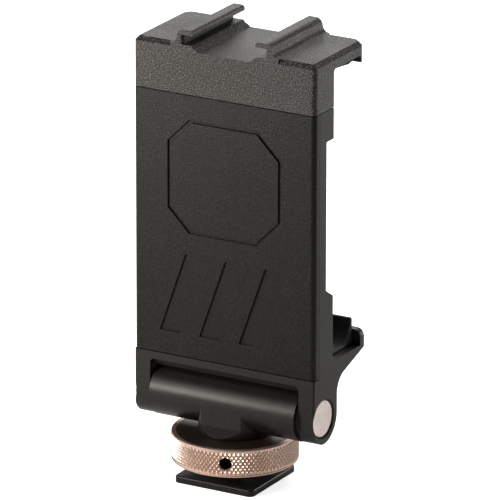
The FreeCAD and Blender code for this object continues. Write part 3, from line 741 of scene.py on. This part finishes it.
@dataclass
class Foot:
    """Hinge barrel, threaded stud, foot and the screw under it."""

    edge: float = 0.15 * MM
    barrel_edge_steps: int = 3
    thread_pitch: float = 1.27 * MM
    thread_depth: float = 0.6 * MM
    crest_share: float = 0.2
    root_share: float = 0.6
    screw_radius: float = 1.5 * MM
    stud_steps: int = 48
    stud_radius: float = field(init=False)
    stud_low: float = field(init=False)
    stud_high: float = field(init=False)
    screw_top: float = field(init=False)

    def __post_init__(self) -> None:
        """Takes the stud's and screw's ends from their solids."""
        low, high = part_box("foot_stud")
        self.stud_radius, self.stud_low, self.stud_high = high.x, low.z, high.z
        self.screw_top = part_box("foot_screw")[1].z

    def build(self) -> None:
        """Builds and dresses the foot."""
        barrel = machined_copy("hinge_barrel", self.edge, self.barrel_edge_steps)
        set_down(barrel, Body.BASE, BARREL_BLACK, "hinge_barrel")
        foot = machined_copy("shoe_foot", self.edge)
        set_down(foot, Body.BASE, FRAME_BLACK, "shoe_foot")
        stud = self.stud()
        set_down(stud, Body.BASE, STEEL, "foot_stud")
        paint(frame["nodes"]["foot_screw"], DARK_STEEL)

    def stud(self) -> bpy.types.Object:
        """Turns the stud with its thread's grooves and the blind hole for the screw.

        Returns:
            The threaded stud.
        """
        root = self.stud_radius - self.thread_depth
        profile = [(self.screw_radius, self.screw_top), (self.screw_radius, self.stud_low),
                   (self.stud_radius, self.stud_low)]
        turns = int((self.stud_high - self.stud_low) / self.thread_pitch)
        for turn in range(turns):
            start = self.stud_low + turn * self.thread_pitch
            profile += [(self.stud_radius, start + self.crest_share * self.thread_pitch),
                        (root, start + self.root_share * self.thread_pitch),
                        (self.stud_radius, start + self.thread_pitch)]
        profile.append((self.stud_radius, self.stud_high))
        stud = turned_piece("foot_stud_finished", profile, self.stud_steps, solid=True)
        bpy.ops.object.shade_smooth_by_angle(angle=TURNED_SMOOTH)
        return stud


@dataclass
class Springs:
    """The two coil springs that pull the jaw down.

    pressed_share is not used; it is what is left of their length when the jaw is fully open.
    """

    wire_radius: float = 0.25 * MM
    wire_steps: int = 10
    turns: int = 8
    steps: int = 32
    pressed_share: float = 0.264

    def build(self) -> None:
        """Winds both springs."""
        for side in ("right", "left"):
            low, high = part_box(f"spring_{side}")
            middle = (low + high) / 2
            spring = self.wind(side, (high.x - low.x) / 2 - self.wire_radius, high.z - low.z)
            spring.location = (middle.x, middle.y, low.z + self.wire_radius)
            set_down(spring, Body.CLAMP, SPRING_STEEL, f"spring_{side}")
            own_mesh(spring)

    def wind(self, side: str, coil_radius: float, length: float) -> bpy.types.Object:
        """Winds one spring.

        Args:
            side: its name's last word.
            coil_radius: radius of the wire's middle line.
            length: length over both ends.

        Returns:
            The spring, its axis along Z.
        """
        height = length - 2 * self.wire_radius
        deselect()
        bpy.ops.mesh.primitive_circle_add(vertices=self.wire_steps, radius=self.wire_radius,
                                          rotation=(math.pi / 2, 0.0, 0.0))
        spring = bpy.context.active_object
        spring.name = f"spring_{side}_finished"
        bpy.ops.object.transform_apply(location=True, rotation=True, scale=True)
        bpy.ops.object.mode_set(mode="EDIT")
        bpy.ops.mesh.select_all(action="SELECT")
        bpy.ops.transform.translate(value=(coil_radius, 0.0, 0.0))
        bpy.ops.object.mode_set(mode="OBJECT")
        wind = spring.modifiers.new("coil", "SCREW")
        wind.axis = "Z"
        wind.angle = math.tau
        wind.steps = self.steps
        wind.render_steps = self.steps
        wind.iterations = self.turns
        wind.screw_offset = height / self.turns
        bpy.ops.object.modifier_apply(modifier=wind.name)
        bpy.ops.object.mode_set(mode="EDIT")
        bpy.ops.mesh.select_all(action="SELECT")
        bpy.ops.mesh.remove_doubles(threshold=MERGE_GAP / 2)
        bpy.ops.mesh.select_all(action="DESELECT")
        bpy.ops.mesh.select_non_manifold(use_wire=False, use_multi_face=False, use_non_contiguous=False)
        bpy.ops.mesh.edge_face_add()
        bpy.ops.mesh.select_all(action="SELECT")
        bpy.ops.mesh.normals_make_consistent(inside=False)
        bpy.ops.object.mode_set(mode="OBJECT")
        bpy.ops.object.shade_smooth_by_angle(angle=COIL_SMOOTH)
        return spring


@dataclass
class Wheel:
    """Locking wheel: a black hub inside a knurled ring, and the washer below.

    The plain lands above and below the knurl lie land_drop inside the diamonds' points, and
    hole_angle is turned from the front towards the right.
    """

    hub_edge: float = 0.15 * MM
    diamonds: int = 92
    knurl_rows: int = 8
    knurl_depth: float = 0.34 * MM
    knurl_margin: float = 0.4 * MM
    land_drop: float = 0.12 * MM
    chamfer: float = 0.16 * MM
    hole_radius: float = 1.35 * MM
    hole_angle: float = math.radians(21.0)
    hole_depth: float = 2.0 * MM
    hole_steps: int = 40
    outer_radius: float = field(init=False)
    inner_radius: float = field(init=False)
    valley: float = field(init=False)
    bottom: float = field(init=False)
    top: float = field(init=False)

    def __post_init__(self) -> None:
        """Takes the ring's sizes from the solids of the ring and the hub."""
        low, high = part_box("knurled_ring")
        self.outer_radius, self.bottom, self.top = high.x, low.z, high.z
        self.inner_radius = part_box("wheel_hub")[1].x
        self.valley = self.outer_radius - self.knurl_depth

    def build(self) -> None:
        """Builds and dresses the wheel."""
        hub = machined_copy("wheel_hub", self.hub_edge)
        set_down(hub, Body.WHEEL, WHEEL_BLACK, "wheel_hub")
        ring = self.ring()
        set_down(ring, Body.WHEEL, ROSE_GOLD, "knurled_ring")
        paint(frame["nodes"]["wheel_washer"], NYLON)

    def ring(self) -> bpy.types.Object:
        """Turns the ring, raises its diamonds and drills its two holes.

        Returns:
            The knurled ring.
        """
        land = self.outer_radius - self.land_drop
        low, high = self.bottom + self.knurl_margin, self.top - self.knurl_margin
        pitch = (high - low) / self.knurl_rows
        profile = [(self.inner_radius, self.bottom), (land - self.chamfer, self.bottom),
                   (land, self.bottom + self.chamfer), (land, low - self.land_drop)]
        rows = [low + pitch * row for row in range(self.knurl_rows + 1)]
        profile += [(self.valley, height) for height in rows]
        profile += [(land, high + self.land_drop), (land, self.top - self.chamfer),
                    (land - self.chamfer, self.top), (self.inner_radius, self.top)]
        ring = turned_piece("knurled_ring_finished", profile, self.diamonds * 2)
        self.raise_diamonds(ring, low, pitch)
        self.drill(ring)
        bpy.ops.object.shade_smooth_by_angle(angle=KNURL_SMOOTH)
        return ring

    def raise_diamonds(self, ring: bpy.types.Object, low: float, pitch: float) -> None:
        """Lifts every second crossing of the knurl to the outer radius.

        Args:
            ring: the turned ring.
            low: height of the knurl's lower end.
            pitch: distance between the rows.
        """
        step = math.pi / self.diamonds
        bpy.ops.object.mode_set(mode="EDIT")
        bpy.ops.mesh.select_all(action="DESELECT")
        bpy.ops.object.mode_set(mode="OBJECT")
        for vertex in ring.data.vertices:
            x, y, z = vertex.co
            row = round((z - low) / pitch)
            around = round(math.atan2(y, x) / step)
            on_row = 0 < row < self.knurl_rows and abs(low + row * pitch - z) < TOLERANCE
            in_valley = abs(math.hypot(x, y) - self.valley) < TOLERANCE
            vertex.select = on_row and in_valley and (row + around) % 2 == 0
        bpy.ops.object.mode_set(mode="EDIT")
        grow = self.outer_radius / self.valley
        bpy.ops.transform.resize(value=(grow, grow, 1.0), center_override=(0.0, 0.0, 0.0))
        bpy.ops.mesh.select_all(action="SELECT")
        bpy.ops.mesh.quads_convert_to_tris(quad_method="SHORTEST_DIAGONAL")
        bpy.ops.object.mode_set(mode="OBJECT")

    def drill(self, ring: bpy.types.Object) -> None:
        """Drills the hole seen in the photograph and the one opposite.

        Args:
            ring: the knurled ring.
        """
        for angle in (self.hole_angle, self.hole_angle + math.pi):
            middle = (self.outer_radius * math.sin(angle), -self.outer_radius * math.cos(angle),
                      (self.bottom + self.top) / 2)
            deselect()
            bpy.ops.mesh.primitive_cylinder_add(vertices=self.hole_steps, radius=self.hole_radius,
                                                depth=2 * self.hole_depth, location=middle,
                                                rotation=(math.pi / 2, 0.0, angle))
            cut_out(ring, bpy.context.active_object)


# Stage, light and camera

@dataclass(frozen=True)
class Lamp:
    """A square soft lamp: places and size in metres, power in watts."""

    name: str
    place: Place
    aim: Place
    size: float
    power: float

    def hang(self) -> None:
        """Adds the lamp to the scene."""
        data = bpy.data.lights.new(self.name, "AREA")
        data.energy = self.power
        data.size = self.size
        item = bpy.data.objects.new(self.name, data)
        item.location = self.place
        way = Vector(self.aim) - Vector(self.place)
        item.rotation_euler = way.to_track_quat("-Z", "Y").to_euler()
        bpy.context.scene.collection.objects.link(item)


MIDDLE: Place = (0.0, 0.0, 0.05)
# a wide box overhead, a glow behind, the key on the left, a sheen close by and a fill on the right
LAMPS = (
    Lamp("back_box", (-0.1, 0.45, 0.75), MIDDLE, 0.6, 4.5),
    Lamp("back_glow", (-0.35, 0.6, 0.34), MIDDLE, 0.4, 1.0),
    Lamp("left_key", (-0.55, -0.6, 0.5), MIDDLE, 0.4, 3.0),
    Lamp("near_sheen", (-0.1, -0.13, 0.07), (0.0, 0.0, 0.085), 0.05, 0.245),
    Lamp("right_glow", (0.38, 0.62, 0.12), MIDDLE, 0.2, 2.0),
)


@dataclass
class Studio:
    """Floor, lamps and the camera at the photograph's angle."""

    azimuth: float = 29.651
    elevation: float = 18.880
    roll: float = -0.087
    distance: float = 1463.8 * MM
    target: Place = (0.0, 0.0, 60.0 * MM)
    shift_right: float = 2.9457 * MM
    shift_up: float = -10.7916 * MM
    lens: float = 525.6
    sensor: float = 36.0
    sight: float = 20.0
    floor_size: float = 8.0
    floor_tone: Colour = (0.9, 0.9, 0.9)
    floor_light_tone: Colour = (0.93, 0.93, 0.93)
    floor_grains_per_metre: float = 300.0
    mirrored_white: float = 0.05
    shown_white: float = 0.75
    room_light: float = 0.15
    backdrop_white: float = 1.0

    def build(self) -> None:
        """Builds the whole stage."""
        bpy.context.scene.view_settings.view_transform = "Standard"
        self.floor()
        self.world()
        for lamp in LAMPS:
            lamp.hang()
        self.camera()

    def axes(self) -> tuple[Vector, Vector, Vector]:
        """Works out which way the camera looks.

        Returns:
            Its right, up and forward directions.
        """
        az, el, roll = (math.radians(a) for a in (self.azimuth, self.elevation, self.roll))
        right = Vector((math.cos(az), math.sin(az), 0.0))
        forward = Vector((-math.sin(az) * math.cos(el), math.cos(az) * math.cos(el), -math.sin(el)))
        up = right.cross(forward)
        rolled_right = right * math.cos(roll) - up * math.sin(roll)
        rolled_up = right * math.sin(roll) + up * math.cos(roll)
        return rolled_right, rolled_up, forward

    def camera(self) -> None:
        """Places the camera."""
        right, up, forward = self.axes()
        eye = Vector(self.target) + right * self.shift_right + up * self.shift_up - forward * self.distance
        data = bpy.data.cameras.new("studio_camera")
        data.lens = self.lens
        data.sensor_width = self.sensor
        data.sensor_fit = "HORIZONTAL"
        data.clip_end = self.sight
        camera = bpy.data.objects.new("studio_camera", data)
        bpy.context.scene.collection.objects.link(camera)
        turn = Matrix((right, up, -forward)).transposed()
        camera.matrix_world = Matrix.Translation(eye) @ turn.to_4x4()
        bpy.context.scene.camera = camera

    def floor(self) -> None:
        """Adds a pale floor that shows white to the camera but keeps the shadow."""
        deselect()
        bpy.ops.mesh.primitive_plane_add(size=self.floor_size)
        floor = bpy.context.active_object
        floor.name = "floor"
        tree = NodeTree("pale_floor")
        grain = tree.noise(self.floor_grains_per_metre)
        colour = tree.ramp(grain, [(0.0, self.floor_tone), (1.0, self.floor_light_tone)])
        tree.link(colour, tree.shader.inputs["Base Color"])
        tree.shader.inputs["Roughness"].default_value = 0.9
        tree.shader.inputs["Specular IOR Level"].default_value = 0.0
        path = tree.node("ShaderNodeLightPath")
        mirrored = tree.node("ShaderNodeMath", operation="MAXIMUM")
        tree.link(path.outputs["Is Glossy Ray"], mirrored.inputs[0])
        tree.link(path.outputs["Is Transmission Ray"], mirrored.inputs[1])
        share = tree.node("ShaderNodeMath", operation="MULTIPLY")
        tree.link(mirrored.outputs["Value"], share.inputs[0])
        share.inputs[1].default_value = self.mirrored_white
        shown = tree.node("ShaderNodeMath", operation="MULTIPLY")
        tree.link(path.outputs["Is Camera Ray"], shown.inputs[0])
        shown.inputs[1].default_value = self.shown_white
        strength = tree.node("ShaderNodeMath", operation="MAXIMUM")
        tree.link(shown.outputs["Value"], strength.inputs[0])
        tree.link(share.outputs["Value"], strength.inputs[1])
        tree.shader.inputs["Emission Color"].default_value = (1.0, 1.0, 1.0, 1.0)
        tree.link(strength.outputs["Value"], tree.shader.inputs["Emission Strength"])
        floor.data.materials.append(tree.material)

    def world(self) -> None:
        """Lights the room evenly and shows white behind the mount."""
        world = bpy.data.worlds.new("studio")
        world.use_nodes = True
        nodes, links = world.node_tree.nodes, world.node_tree.links
        nodes.clear()
        output = nodes.new("ShaderNodeOutputWorld")
        path = nodes.new("ShaderNodeLightPath")
        seen = nodes.new("ShaderNodeMath")
        seen.operation = "MAXIMUM"
        links.new(path.outputs["Is Camera Ray"], seen.inputs[0])
        links.new(path.outputs["Is Transmission Ray"], seen.inputs[1])
        soft = nodes.new("ShaderNodeBackground")
        soft.inputs["Color"].default_value = (1.0, 1.0, 1.0, 1.0)
        soft.inputs["Strength"].default_value = self.room_light
        white = nodes.new("ShaderNodeBackground")
        white.inputs["Color"].default_value = (1.0, 1.0, 1.0, 1.0)
        white.inputs["Strength"].default_value = self.backdrop_white
        mix = nodes.new("ShaderNodeMixShader")
        links.new(seen.outputs["Value"], mix.inputs["Fac"])
        links.new(soft.outputs["Background"], mix.inputs[1])
        links.new(white.outputs["Background"], mix.inputs[2])
        links.new(mix.outputs["Shader"], output.inputs["Surface"])
        bpy.context.scene.world = world


def main() -> None:
    """Builds the mount's looks, then the stage around it."""
    logging.basicConfig(level=logging.INFO, format="%(name)s %(message)s")
    for part in (Jaw(), Clamp(), Pins(), Springs(), Foot(), Wheel()):
        part.build()
        LOG.info("%s built", type(part).__name__)
    Studio().build()


if __name__ == "__main__":
    main()
